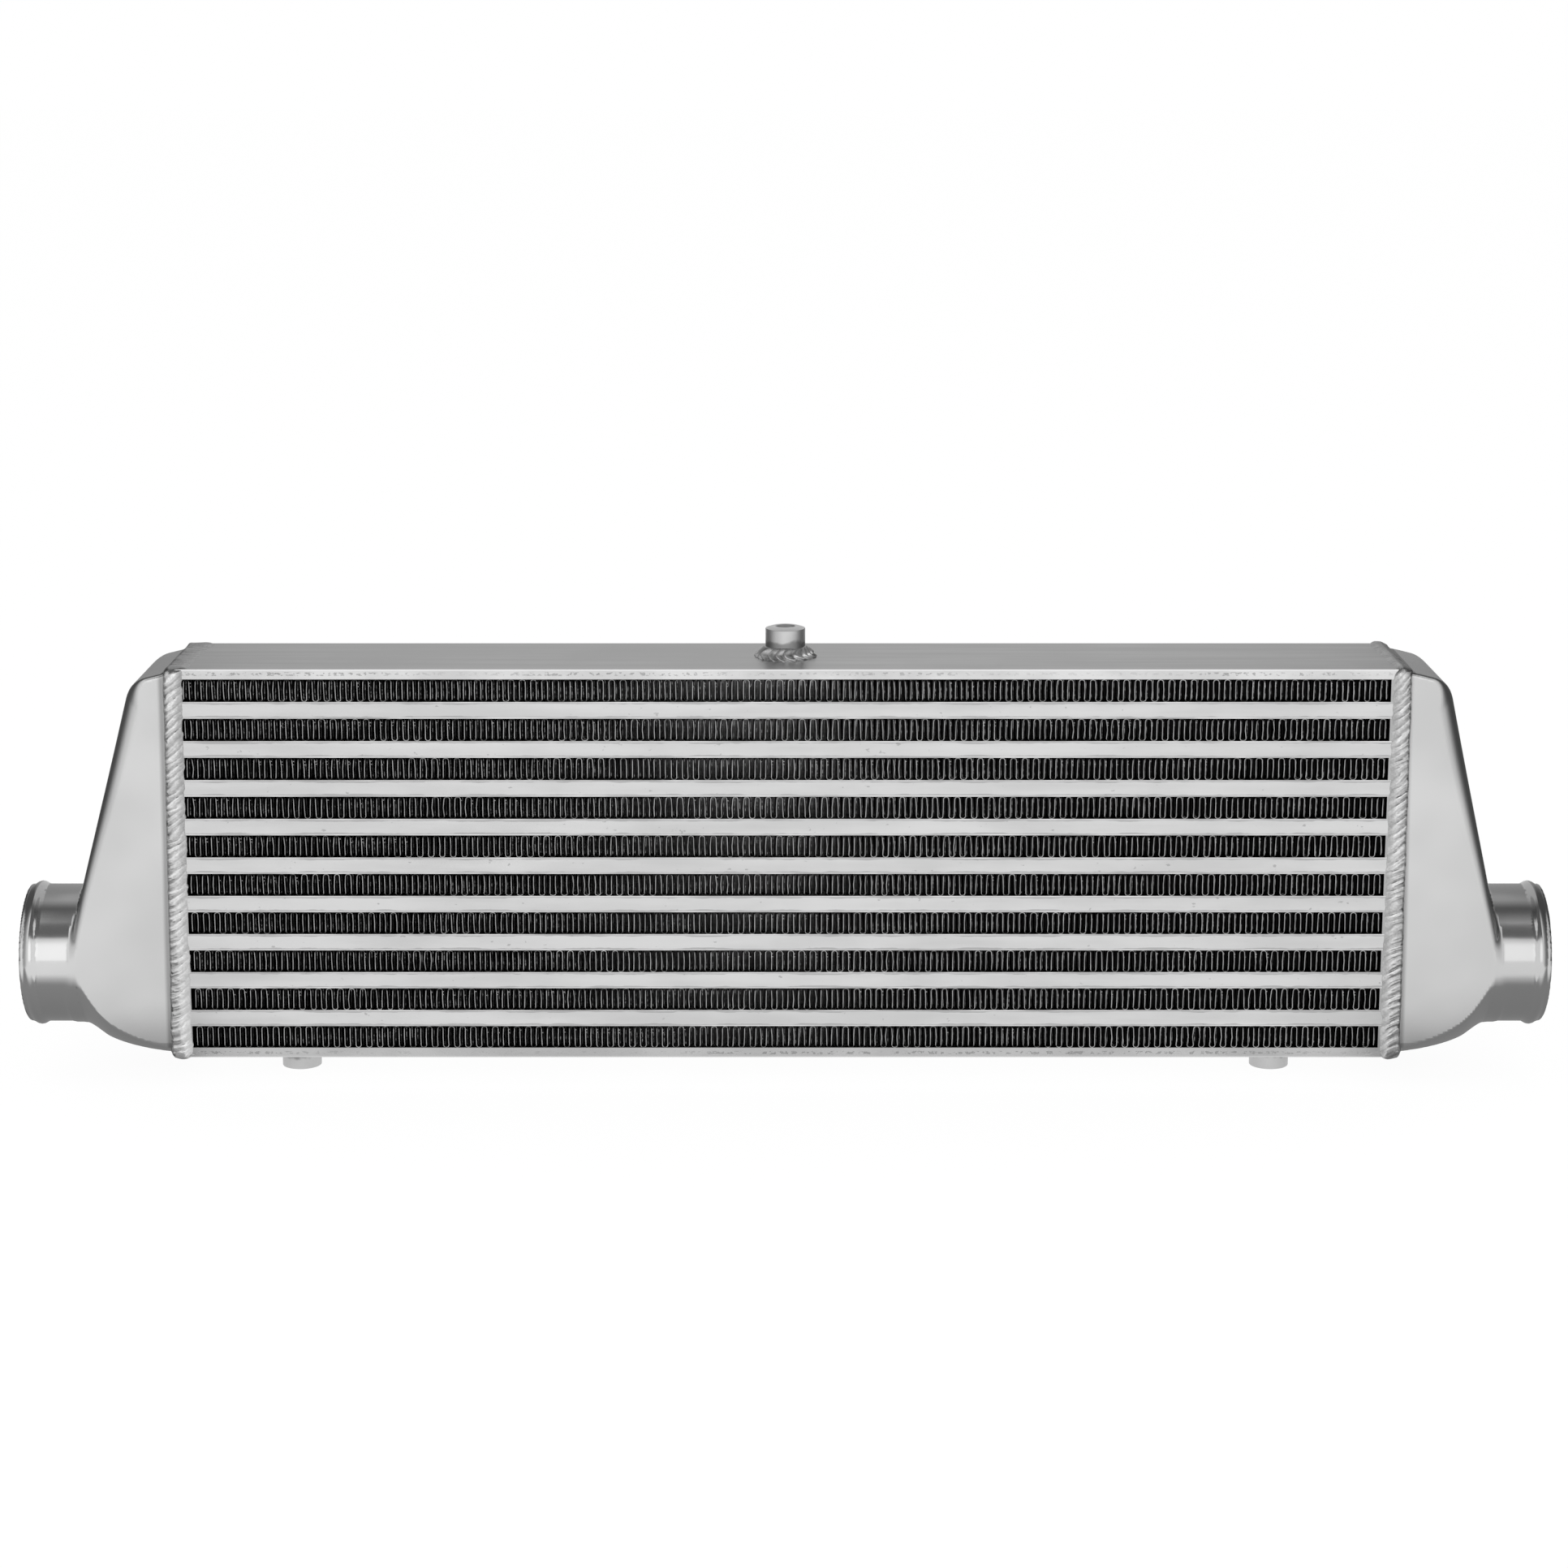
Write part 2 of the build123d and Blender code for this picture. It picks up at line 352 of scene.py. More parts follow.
class Nodes:
    """Adds shader nodes to one tree. A value is a number, a colour or another node's socket."""

    def __init__(self, owner, empty=False):
        owner.use_nodes = True
        self.tree = owner.node_tree
        if empty:
            self.tree.nodes.clear()

    def plug(self, socket, value):
        if isinstance(value, bpy.types.NodeSocket):
            self.tree.links.new(value, socket)
        else:
            socket.default_value = value

    def add(self, kind, inputs=None, **settings):
        node = self.tree.nodes.new("ShaderNode" + kind)
        for key, value in settings.items():
            setattr(node, key, value)
        for key, value in (inputs or {}).items():
            self.plug(node.inputs[key], value)
        return node

    def calc(self, operation, *values):
        """Output of a math node."""
        return self.add("Math", dict(enumerate(values)), operation=operation).outputs[0]

    def plus(self, first, second):
        return self.calc("ADD", first, second)

    def minus(self, first, second):
        return self.calc("SUBTRACT", first, second)

    def times(self, *values):
        return reduce(lambda first, second: self.calc("MULTIPLY", first, second), values)

    def absolute(self, value):
        return self.calc("ABSOLUTE", value)

    def split(self, vector):
        """X, Y and Z of a vector."""
        return self.add("SeparateXYZ", {0: vector}).outputs

    def mix(self, factor, first, second, mode="MIX"):
        """Output of a colour mix."""
        inputs = {0: factor, 6: first, 7: second}
        return self.add("Mix", inputs, data_type="RGBA", blend_type=mode).outputs[2]

    def mottle(self, factor, levels):
        """Grey between two levels."""
        return self.mix(factor, grey(levels[0]), grey(levels[1]))

    def tint(self, colour, level, *shares):
        """Colour drawn towards a grey by the product of the shares."""
        return self.mix(self.times(*shares), colour, grey(level))

    def ramp(self, value, low, high, out_low=0.0, out_high=1.0):
        """Output of a clamped smooth map of one range to another."""
        inputs = {"Value": value, "From Min": low, "From Max": high}
        inputs.update({"To Min": out_low, "To Max": out_high})
        return self.add("MapRange", inputs, interpolation_type="SMOOTHSTEP").outputs[0]

    def spread(self, noise, out_low=0.0, out_high=1.0):
        """Noise spread out over a whole range."""
        return self.ramp(noise, *NOISE_RANGE, out_low, out_high)


class Metal(Nodes):
    """A metal in the making, with sockets for the place and direction of its surface."""

    def __init__(self, name, roughness):
        self.material = bpy.data.materials.new(name)
        super().__init__(self.material)
        self.shader = self.tree.nodes["Principled BSDF"]
        self.shader.inputs["Metallic"].default_value = 1.0
        self.shader.inputs["Roughness"].default_value = roughness
        self.place = self.add("TexCoord").outputs["Object"]
        self.x, self.y, self.z = self.split(self.place)
        self.normal = self.split(self.add("NewGeometry").outputs["Normal"])

    def finish(self, colour, roughness=None, normal=None):
        """Connect what varies over the surface and hand over the material."""
        for label, value in (("Base Color", colour), ("Roughness", roughness), ("Normal", normal)):
            if value is not None:
                self.plug(self.shader.inputs[label], value)
        return self.material

    def noise(self, scale, detail=3.0, stretch=(1, 1, 1)):
        """Output of a noise texture over object coordinates in metres."""
        moved = self.add("Mapping", {"Vector": self.place, "Scale": stretch}).outputs[0]
        inputs = {"Vector": moved, "Scale": scale, "Detail": detail, "Roughness": NOISE_ROUGHNESS}
        return self.add("TexNoise", inputs).outputs["Fac"]

    def bump(self, height, distance, strength=1.0):
        inputs = {"Height": height, "Distance": distance, "Strength": strength}
        return self.add("Bump", inputs).outputs[0]

    def facing(self, axis, low, high):
        """1 where the surface faces along an axis, either way, and 0 where it doesn't."""
        return self.ramp(self.absolute(self.normal[axis]), low, high)

    def from_middle(self):
        """Distance above or below the core's middle, in metres."""
        return self.absolute(self.minus(self.z, core_middle * MM))

    def lower_half(self, share):
        """A share in the core's lower half, and 0 in its upper half."""
        return self.ramp(self.z, (core_middle - 1) * MM, (core_middle + 1) * MM, share, 0.0)

    def row_offset(self, middle):
        """Height above the middle of the layer that a point belongs to, in metres."""
        turns = self.calc("DIVIDE", self.minus(self.z, middle * MM), layer_pitch * MM)
        part = self.calc("FRACT", self.plus(turns, 0.5))
        return self.times(self.minus(part, 0.5), layer_pitch * MM)


# Metals

def foil_material():
    """Thin fin foil: bright cut edges at the faces, with painted shade on the walls and deeper
    edges and painted light on some crests.
    """
    metal = Metal("fin_foil", 0.4)
    depth = metal.minus(core_half_depth * MM, metal.absolute(metal.y))
    patch = metal.noise(24.0, stretch=(1, 0.2, 7))
    patch = metal.plus(patch, metal.ramp(metal.z, core_middle * MM, core_top * MM, 0.0, 0.09))
    dots = metal.noise(620.0, detail=1.0, stretch=(1, 0.2, 1))
    dots = metal.ramp(dots, 0.46, 0.60, 0.12, 1.0)
    # Painted light and shade on the cut edges: full on the front strip, dimmer and broken into dots
    # on the second, a little lighter in the upper rows, and dark deeper in
    front_strip = metal.ramp(depth, 0.9 * MM, 2.1 * MM, 1.0, 0.0)
    second_strip = metal.ramp(depth, 3.0 * MM, 4.4 * MM, 1.0, 0.0)
    behind = metal.times(metal.ramp(patch, 0.44, 0.66, 0.06, 0.7), dots, second_strip)
    level = metal.calc("MAXIMUM", front_strip, behind)
    wear = metal.spread(metal.noise(150.0, detail=2.0), *FOIL_EDGE)
    edge_colour = metal.mix(level, grey(FOIL_SHADE), wear)

    # Painted light and shade on the crests: bright in some patches, dark in others, a little
    # brighter towards the right
    from_row = metal.absolute(metal.row_offset(bar_z + layer_pitch / 2))
    near_crest = metal.ramp(from_row, 3.4 * MM, 4.5 * MM)
    across = metal.ramp(metal.x, -core_end * MM, core_end * MM, -0.04, 0.08)
    lit = metal.plus(metal.noise(17.0, stretch=(1, 0.2, 22)), across)
    lit = metal.ramp(lit, 0.47, 0.62, 0.06, 1.0)
    crest_painted_light = metal.mix(near_crest, grey(1.0), lit)
    edge_colour = metal.mix(1.0, edge_colour, crest_painted_light, "MULTIPLY")

    # Painted shade: the fin walls are near black, with pale specks only within a few millimetres of
    # the face
    speck = metal.ramp(metal.noise(900.0, detail=1.0), 0.66, 0.74)
    shallow = metal.ramp(depth, 0.0, 6.0 * MM, 1.0, 0.0)
    wall_shade_colour = metal.tint(FOIL_WALL_SHADE, FOIL_SPECK, speck, shallow)
    return metal.finish(metal.mix(metal.facing(1, 0.5, 0.8), wall_shade_colour, edge_colour))


def inner_foil_material():
    """Folded turbulators inside the charge-air passages."""
    metal = Metal("inner_foil", 0.35)
    return metal.finish(metal.mottle(metal.noise(200.0), INNER_FOIL))


def sheet_material():
    """Parting sheets: bright edges at the faces, painted shade where they wall the air passages."""
    metal = Metal("parting_sheet", 0.35)
    stain = metal.noise(120.0, stretch=(0.3, 1, 1))
    edge_colour = metal.mottle(metal.spread(stain), SHEET_EDGE)
    # Painted shade: the sheets' faces inside the passages are near black
    colour = metal.mix(metal.facing(1, 0.5, 0.8), grey(SHEET_INSIDE_SHADE), edge_colour)
    return metal.finish(colour, normal=metal.bump(stain, 0.0004))


def bar_material():
    """Satin extruded bars with faint stains and a darker braze line along each long edge."""
    metal = Metal("satin_bar", 0.36)
    streak = metal.noise(60.0, detail=5.0, stretch=(0.12, 1, 1.4))
    cloud = metal.noise(22.0, stretch=(1, 1, 2))
    stain = metal.plus(metal.times(streak, 0.6), metal.times(cloud, 0.4))
    colour = metal.mottle(metal.ramp(stain, 0.36, 0.62), BAR)
    from_edge = metal.minus(bar_height / 2 * MM, metal.absolute(metal.row_offset(bar_z)))
    ragged = metal.noise(170.0, stretch=(0.5, 1, 0.2))
    line_width = metal.ramp(ragged, 0.35, 0.7, 0.15 * MM, 0.75 * MM)
    joint = metal.ramp(metal.minus(from_edge, line_width), -0.1 * MM, 0.15 * MM, 1.0, 0.0)
    colour = metal.tint(colour, BAR_JOINT, joint, 0.6)
    speck = metal.ramp(metal.noise(420.0, detail=2.0, stretch=(0.6, 1, 1)), 0.70, 0.76)
    colour = metal.tint(colour, BAR_SPECK, speck, 0.5)
    # Painted shade: faces that don't face front or rear are near black
    colour = metal.mix(metal.facing(1, 0.3, 0.6), grey(BAR_INSIDE_SHADE, 0.1), colour)
    roughness = metal.spread(cloud, 0.3, 0.44)
    return metal.finish(colour, roughness, metal.bump(streak, 0.0003, 0.5))


def plate_material():
    """Side plates: plain rolled faces, pitted brazed edges with a painted highlight, painted shade
    on the lower one and towards the fins.
    """
    metal = Metal("side_plate", 0.36)
    brushed = metal.noise(160.0, detail=4.0, stretch=(0.05, 1, 1))
    tone = metal.times(metal.spread(metal.noise(14.0)), metal.spread(brushed))
    face = metal.mottle(tone, PLATE_FACE)

    height = metal.from_middle()
    from_outside = metal.minus(core_half_height * MM, height)
    stain = metal.noise(55.0, detail=4.0, stretch=(0.5, 1, 1))
    rim = metal.mottle(metal.ramp(stain, 0.35, 0.65), PLATE_RIM)
    belt = metal.absolute(metal.minus(from_outside, 2.1 * MM))
    belt = metal.ramp(belt, 0.4 * MM, 1.1 * MM, 1.0, 0.0)
    pits = metal.ramp(metal.noise(1000.0, detail=2.0, stretch=(0.6, 1, 1)), 0.54, 0.64)
    busy = metal.ramp(metal.noise(9.0, detail=1.0), 0.40, 0.58, 0.35, 1.0)
    pits = metal.times(pits, belt, busy)
    rim = metal.tint(rim, PLATE_PIT, pits, 0.5)
    # Painted highlight: a bright line along the outer edge of the plates' front
    painted_edge_highlight = metal.ramp(from_outside, 0.3 * MM, 0.8 * MM, 1.0, 0.0)
    rim = metal.tint(rim, PLATE_EDGE_HIGHLIGHT, painted_edge_highlight, 0.8)
    # Painted shade: the edge of the lower plate is darker than the upper one
    rim = metal.tint(rim, PLATE_LOWER_SHADE, metal.lower_half(0.35))

    flat = metal.facing(2, 0.4, 0.7)
    colour = metal.mix(flat, rim, face)
    # Painted shade: the plates' inner faces towards the fins are near black
    inner_face = (core_half_height - plate_thickness) * MM
    inner = metal.ramp(height, inner_face, inner_face + 1.5 * MM, 1.0, 0.0)
    colour = metal.tint(colour, PLATE_INSIDE_SHADE, inner, flat)
    relief = metal.times(pits, metal.minus(1.0, flat))
    return metal.finish(colour, normal=metal.bump(relief, -0.00015))


def cast_material():
    """Polished casting: mirror-like pipe, softer faces, painted shade underneath, beside the weld
    and in the crease on its top.
    """
    metal = Metal("polished_casting", FACE_ROUGHNESS)
    out = metal.minus(metal.absolute(metal.x), core_end * MM)
    cloud = metal.noise(16.0, detail=2.0)
    colour = metal.mottle(metal.spread(cloud), CASTING)
    # Painted shade: darker where the surface faces down
    underside_shade = metal.ramp(metal.normal[2], -0.9, -0.2, 1.0, 0.0)
    colour = metal.tint(colour, CASTING_UNDER_SHADE, underside_shade)

    # Painted shade: a band beside the weld, on surfaces that don't face up or down
    follow = metal.ramp(metal.z, core_bottom * MM, core_top * MM, 0.0, WELD_SHADE_RISE * MM)
    weld_shade = metal.ramp(metal.plus(out, follow), WELD_SHADE_START * MM, WELD_SHADE_END * MM, 1.0, 0.0)
    sideways = metal.ramp(metal.absolute(metal.normal[2]), 0.4, 0.8, 0.6, 0.0)
    colour = metal.tint(colour, CASTING_WELD_SHADE, weld_shade, sideways)

    # Painted shade: a dark line in the crease on the tank's top by the weld
    skewed = metal.calc("MULTIPLY_ADD", metal.x, -CREASE_SKEW / core_end, out)
    crease = metal.ramp(skewed, CREASE_START * MM, CREASE_END * MM, 1.0, 0.0)
    upward = metal.ramp(metal.normal[2], 0.7, 0.9, 0.0, 0.85)
    colour = metal.tint(colour, CASTING_CREASE_SHADE, crease, upward)

    pipe = metal.ramp(out, POLISH_START * MM, POLISH_END * MM)
    polish = metal.ramp(pipe, 0.0, 1.0, FACE_ROUGHNESS, PIPE_ROUGHNESS)
    roughness = metal.calc("MULTIPLY_ADD", metal.noise(90.0, detail=4.0), 0.05, polish)
    return metal.finish(colour, roughness, metal.bump(cloud, 0.0012, 0.5))


def weld_material(name, roughness, tone):
    """As-welded metal: painted highlight on the ripples, painted shade between them, sooty near the
    toe and a painted shadow along the toe.
    """
    metal = Metal(name, roughness)
    across = metal.add("Attribute", attribute_name="across").outputs["Fac"]
    lift = metal.add("Attribute", attribute_name="lift").outputs["Fac"]
    grain = metal.noise(1100.0, detail=2.0)
    cloud = metal.noise(150.0, detail=4.0)
    flat = metal.facing(2, 0.6, 0.9)
    # Painted highlight on the ripples and painted shade between them, mixed with a random tone
    pale = metal.calc("MULTIPLY_ADD", lift, 0.75, metal.spread(cloud, 0.0, 0.3))
    colour = metal.mottle(pale, (WELD_SHADE_AND_TONE[0] * tone, WELD_SHADE_AND_TONE[1] * tone))
    colour = metal.tint(colour, WELD_FLAT * tone, flat, 0.7)
    colour = metal.mix(1.0, colour, metal.ramp(grain, 0.35, 0.65, 0.9, 1.08), "MULTIPLY")

    # Painted light: the lower part of the left weld is lighter
    low = metal.ramp(metal.z, core_bottom * MM, (core_middle + 20) * MM, 0.3, 0.0)
    left = metal.ramp(metal.x, -0.9 * core_end * MM, -0.8 * core_end * MM, 1.0, 0.0)
    colour = metal.tint(colour, WELD_LOW_LEFT_LIGHT, low, left)

    beside_toe = metal.absolute(metal.minus(across, 0.84))
    beside_toe = metal.ramp(beside_toe, 0.03, 0.11, 0.75, 0.0)
    holes = metal.ramp(metal.noise(360.0, detail=1.0), 0.58, 0.68)
    colour = metal.tint(colour, WELD_HOLE, holes, beside_toe)
    smear = metal.ramp(metal.noise(170.0), 0.50, 0.62)
    near_toe = metal.ramp(across, 0.5, 0.95, 0.0, 0.8)
    colour = metal.tint(colour, WELD_SOOT, flat, smear, near_toe)
    # Painted shadow along the toe, stronger on level stretches
    toe_shade_share = metal.calc("MULTIPLY_ADD", flat, 0.35, 0.6)
    colour = metal.tint(colour, WELD_TOE_SHADE, metal.ramp(across, 0.92, 1.0), toe_shade_share)
    roughness = metal.spread(cloud, roughness - 0.06, roughness + 0.08)
    return metal.finish(colour, roughness, metal.bump(grain, 0.00012, 0.35))


def bung_material():
    """Turned boss: fine rings around its axis, a pale end and a sooty foot."""
    metal = Metal("turned_bung", 0.46)
    cloud = metal.noise(120.0)
    colour = metal.mottle(cloud, BUNG)
    colour = metal.tint(colour, BUNG_END, metal.facing(2, 0.6, 0.9))
    # Painted shade: the bungs below are darker
    colour = metal.tint(colour, BUNG_LOWER_SHADE, metal.lower_half(0.45))
    height = metal.minus(metal.from_middle(), core_half_height * MM)
    ragged = metal.times(metal.minus(cloud, 0.5), 8 * MM)
    sooty = metal.ramp(metal.plus(height, ragged), 6.5 * MM, 8.5 * MM, 0.65, 0.0)
    colour = metal.tint(colour, BUNG_SOOT, sooty)
    rings = metal.noise(900.0, detail=2.0, stretch=(0.05, 0.05, 1))
    return metal.finish(colour, normal=metal.bump(rings, 0.00008, 0.5))


# Ambient fins

def fin_line(low, high, place, bow, pinch, fine):
    """Centre line of one folded strip between two corners, wall by wall, as (x, z) points."""
    step = (high[0] - low[0]) / FIN_WALLS
    centre = low[0] + step * (np.arange(FIN_WALLS) + 0.5) + place
    centre = np.clip(centre, low[0] + FIN_STOCK, high[0] - FIN_STOCK)
    up = np.arange(FIN_WALLS) % 2 == 0
    low_z, high_z = low[2] + FIN_STOCK / 2, high[2] - FIN_STOCK / 2
    start_z = np.where(up, low_z + FIN_CREST, high_z - FIN_CREST)
    end_z = np.where(up, high_z - FIN_CREST, low_z + FIN_CREST)
    crest_z = np.where(up, high_z, low_z)
    start_x, end_x = centre - pinch, centre + pinch
    next_x = np.append(start_x[1:], end_x[-1] + step)
    gap = next_x - end_x
    soft_z = crest_z + CREST_SOFTNESS * np.sign(end_z - crest_z) * FIN_CREST
    wall = [(start_x, start_z), (centre + bow, (start_z + end_z) / 2), (end_x, end_z)]
    crest = [
        (end_x + CREST_SHOULDER * gap, soft_z),
        (end_x + gap / 2, crest_z),
        (end_x + (1 - CREST_SHOULDER) * gap, soft_z),
    ]
    if not fine:
        del wall[1], crest[1]
    columns = [np.stack(pair, 1) for pair in wall + crest]
    line = np.stack(columns, 1).reshape(-1, 2)
    return line[: len(line) - len(crest)]


def ribbon(line, front, rear):
    """Closed strip of foil along a centre line, from front to rear."""
    slope = np.gradient(line, axis=0)
    slope /= np.linalg.norm(slope, axis=1)[:, None]
    side = np.stack([-slope[:, 1], slope[:, 0]], 1) * FIN_STOCK / 2
    ring = [(line + side, front), (line + side, rear), (line - side, rear), (line - side, front)]
    rows = [np.stack([flat[:, 0], np.full(len(flat), y), flat[:, 1]], 1) for flat, y in ring]
    points = np.stack(rows, 1).reshape(-1, 3)
    return points, grid_quads(len(line), 4, close_columns=True)


def block(low, high):
    """Closed box between two corners."""
    xs, ys, zs = zip(low, high)
    points = [(x, y, z) for x in xs for y in ys for z in zs]
    quads = [(0, 1, 3, 2), (4, 6, 7, 5), (0, 4, 5, 1), (2, 3, 7, 6), (0, 2, 6, 4), (1, 5, 7, 3)]
    return np.array(points), np.array(quads)


def lanced_tabs(start, spacing, sway, top, rng):
    """Small lanced tabs that stick out of every other wall, in clusters along the row."""
    tabs = []
    busy = smooth_noise(np.arange(FIN_WALLS), TAB_CLUSTER, rng)
    near_faces = (TAB_DEPTH - core_half_depth, core_half_depth - TAB_DEPTH - TAB_THICKNESS)
    for wall in range(1, FIN_WALLS - 1, 2):
        for drop in TAB_DROPS:
            if busy[wall] + rng.uniform(-0.5, 0.5) < TAB_CUTOFF:
                continue
            x = start + spacing * (wall + 0.5) + TAB_FOLLOW * sway[wall]
            z = top - drop - rng.uniform(-TAB_DROP_JITTER, TAB_DROP_JITTER)
            reach = rng.uniform(*TAB_REACH)
            for y in near_faces:
                low = (x, y, z - TAB_HALF_HEIGHT)
                high = (x + reach, y + TAB_THICKNESS, z + TAB_HALF_HEIGHT)
                tabs.append(block(low, high))
    return tabs


def build_fin_row(row, material):
    """One row of folded and lanced fin: shifted strips near the faces, a long one between."""
    rng = np.random.default_rng(SEED + row)
    node = f"ambient_fin_{row:02d}"
    low, high = (np.array(corner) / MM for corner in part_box(node))
    low[0] += FIN_END_GAP
    high[0] -= FIN_END_GAP
    walls = np.arange(FIN_WALLS)
    swell = BOW_LEAST + BOW_SWELL * smooth_noise(walls, 14.0, rng) ** 4
    bow = np.where(walls % 2 == 0, -1, 1) * swell * rng.uniform(0.3, 1.3, FIN_WALLS)
    bow = bow + BOW_DRIFT * smooth_noise(walls, 9.0, rng)
    pinch = LEAN_LEAST + LEAN_SWELL * smooth_noise(walls, 21.0, rng)
    pinch = pinch + rng.uniform(-LEAN_JITTER, LEAN_JITTER, FIN_WALLS)
    place = STRAY_SWELL * smooth_noise(walls, 3.0, rng)
    place = place + rng.uniform(-STRAY_JITTER, STRAY_JITTER, FIN_WALLS)
    half = core_half_depth
    cuts = [-half, -half + FIN_STRIP, -half + 2 * FIN_STRIP]
    cuts += [half - 2 * FIN_STRIP, half - FIN_STRIP, half]
    parts = []
    for front, rear, shift in zip(cuts, cuts[1:], FIN_SHIFTS):
        fine = front == -half or rear == half
        line = fin_line(low, high, place + shift, bow, pinch, fine)
        parts.append(ribbon(line, front, rear))
    parts += lanced_tabs(low[0], (high[0] - low[0]) / FIN_WALLS, place + bow, high[2], rng)
    points, quads = join_parts(parts)
    add_piece(f"fin_row_{row:02d}", points, quads, material, "ambient_fin", [node], smooth=False)


# End tanks

def hermite(x, start, end):
    """Smooth curve between two (place, value, slope) knots."""
    span = end[0] - start[0]
    t = np.clip((x - start[0]) / span, 0, 1)
    rise = start[1] * (1 - smoothstep(t)) + end[1] * smoothstep(t)
    return rise + span * (start[2] * t * (1 - t) ** 2 + end[2] * t * t * (t - 1))


def flare(x):
    """How far the hood's lower cone stands outside the pipe's radius."""
    run = FOOT_REACH - x
    foot, knee, mouth = FLARE
    return np.where(run < knee[0], hermite(run, foot, knee), hermite(run, knee, mouth))


def round_max(a, b, radius):
    """Intersection of two distances with a rounded edge."""
    inside = np.minimum(np.maximum(a, b), -radius)
    return inside + np.hypot(np.maximum(a + radius, 0), np.maximum(b + radius, 0))


def round_min(a, b, radius):
    """Union of two distances with a filleted crease."""
    outside = np.maximum(np.minimum(a, b), radius)
    return outside - np.hypot(np.maximum(radius - a, 0), np.maximum(radius - b, 0))


def round_corner(a, b, radius, turn):
    """Intersection of two planes whose normals are a turn apart, with a true arc between them."""
    a, b = a + radius, b + radius
    reach = np.sqrt(np.maximum(a * a + b * b - 2 * a * b * cos(turn), 0)) / sin(turn)
    beyond = (a > b * cos(turn)) & (b > a * cos(turn))
    return np.where(beyond, reach, np.maximum(a, b)) - radius


def body_distance(x, y, z):
    """Distance to the tank's body: slanted side and shoulder above, coned hood below."""
    top = (z - MOUTH_TOP) * cos(TOP_FALL) + x * sin(TOP_FALL)
    corner_z = MOUTH_TOP - SHOULDER_REACH * tan(TOP_FALL)
    side = (x - SHOULDER_REACH) * cos(SIDE_LEAN) + (z - corner_z) * sin(SIDE_LEAN)
    outline = round_corner(top, side, SHOULDER_RADIUS, pi / 2 - TOP_FALL - SIDE_LEAN)
    outline = np.maximum(outline, x - FOOT_REACH)
    rise = np.clip(x / FOOT_REACH, 0, 1) ** FLOOR_POWER
    floor = MOUTH_FLOOR - (PIPE_RADIUS + MOUTH_FLOOR) * rise
    outline = round_max(outline, floor - z, FLOOR_EDGE_RADIUS)
    along_side = smoothstep((side - top + EDGE_BLEND / 2) / EDGE_BLEND)
    growth = smoothstep((z - EDGE_GROWTH_START) / EDGE_GROWTH_RUN)
    side_radius = EDGE_RADIUS_LOW + (EDGE_RADIUS - EDGE_RADIUS_LOW) * growth
    edge_radius = EDGE_RADIUS_TOP + (side_radius - EDGE_RADIUS_TOP) * along_side
    shell = round_max(outline, abs(y) - TANK_HALF_DEPTH, edge_radius)
    cone = np.hypot(y, np.minimum(z, 0)) - (PIPE_RADIUS + flare(x))
    return round_max(shell, cone, HOOD_EDGE_RADIUS)


def tank_distance(x, y, z):
    """Distance to the casting's skin, open at its mouth and through its pipe."""
    from_bead = (x - pipe_reach + BEAD_SETBACK) / (BEAD_WIDTH / 2)
    bead = BEAD_RISE * np.clip(1 - from_bead ** 2, 0, 1) ** BEAD_POWER
    pipe = np.maximum(np.hypot(y, z) - PIPE_RADIUS - bead, FOOT_REACH - PIPE_OVERLAP - x)
    outside = round_min(body_distance(x, y, z), pipe, CREASE_RADIUS)
    skin = abs(outside + TANK_WALL / 2) - TANK_WALL / 2
    return round_max(skin, np.maximum(-x, x - pipe_reach), LIP_RADIUS)


def distance_and_slope(points, step=0.01):
    """Distance at each point and the unit direction in which it grows."""
    x, y, z = points.T
    slope = np.stack([
        tank_distance(x + step, y, z) - tank_distance(x - step, y, z),
        tank_distance(x, y + step, z) - tank_distance(x, y - step, z),
        tank_distance(x, y, z + step) - tank_distance(x, y, z - step),
    ], 1)
    slope /= np.maximum(np.linalg.norm(slope, axis=1), 1e-9)[:, None]
    return tank_distance(x, y, z), slope


def surface_net(low, high, cell):
    """Quad mesh of the casting's skin: one point in each cell it crosses, pulled onto it."""
    count = np.ceil((high - low) / cell).astype(int) + 1
    axes = [low[i] + cell * np.arange(count[i]) for i in range(3)]
    inside = tank_distance(*np.meshgrid(*axes, indexing="ij")) < 0
    filled = sum(
        inside[i:count[0] - 1 + i, j:count[1] - 1 + j, k:count[2] - 1 + k].astype(int)
        for i in (0, 1) for j in (0, 1) for k in (0, 1)
    )
    crossed = (filled > 0) & (filled < 8)
    index = -np.ones(crossed.shape, int)
    index[crossed] = np.arange(crossed.sum())
    points = low + cell * (np.argwhere(crossed) + 0.5)
    for _ in range(NET_PASSES):
        distance, slope = distance_and_slope(points)
        points = points - np.clip(distance, -cell, cell)[:, None] * slope
    quads = []
    for axis in range(3):
        before, after = [slice(None)] * 3, [slice(None)] * 3
        before[axis], after[axis] = slice(0, -1), slice(1, None)
        edges = np.argwhere(inside[tuple(before)] != inside[tuple(after)])
        leaving = inside[tuple(edges.T)]
        around = []
        for one, two in ((1, 1), (0, 1), (0, 0), (1, 0)):
            cells = edges.copy()
            cells[:, (axis + 1) % 3] -= one
            cells[:, (axis + 2) % 3] -= two
            around.append(index[tuple(cells.T)])
        faces = np.stack(around, 1)
        faces[~leaving] = faces[~leaving][:, ::-1]
        quads.append(faces)
    return points, np.concatenate(quads), distance_and_slope(points)[1]


